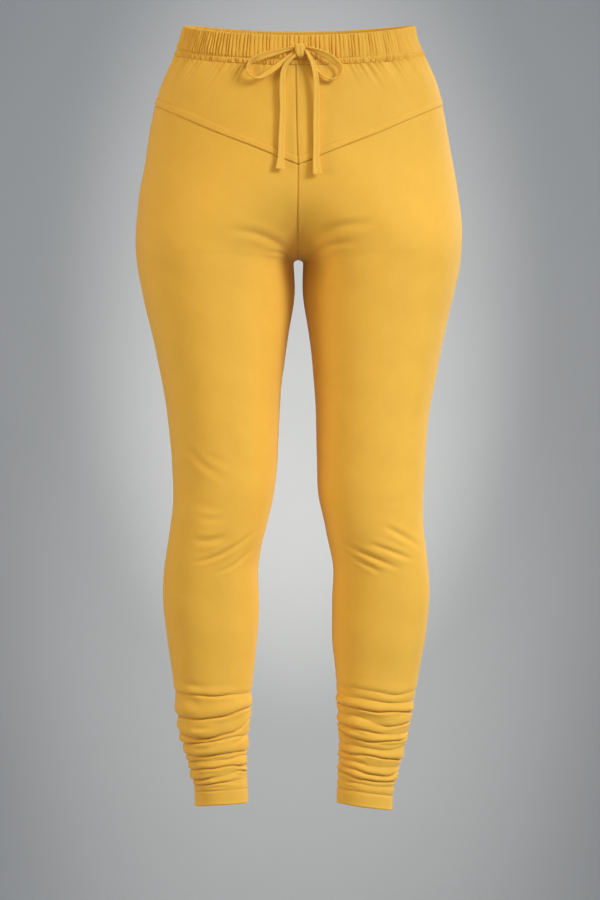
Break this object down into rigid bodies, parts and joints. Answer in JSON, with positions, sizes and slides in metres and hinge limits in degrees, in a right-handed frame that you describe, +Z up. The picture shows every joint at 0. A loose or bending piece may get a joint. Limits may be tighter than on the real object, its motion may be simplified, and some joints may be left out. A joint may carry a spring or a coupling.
{
  "type": "churidar pants",
  "caption": "Slim mustard knit pants with a gathered elastic waistband, drawstring bow, V-shaped front yoke and legs that stack in folds at the ankles.",
  "frame": {"origin": "middle of the waist opening, halfway up the elastic casing at the sides, where the wearer holds the pants up", "axes": "+Z up, -Y to the wearer's front, +X to the wearer's left"},
  "size_m": [0.3925, 0.2613, 0.948],
  "materials": {
    "knit": "matt cotton stretch knit",
    "tape": "folded self-fabric tape, matt"
  },
  "bodies": {
    "root": {"waistband": "knit", "yoke_front_right": "knit", "yoke_front_left": "knit", "leg_front_right": "knit", "leg_front_left": "knit", "leg_back_right": "knit", "leg_back_left": "knit", "drawstring_knot": "tape", "drawstring_loop_right": "tape", "drawstring_loop_left": "tape", "drawstring_tail_right": "tape", "drawstring_tail_left": "tape"}
  },
  "joints": []
}
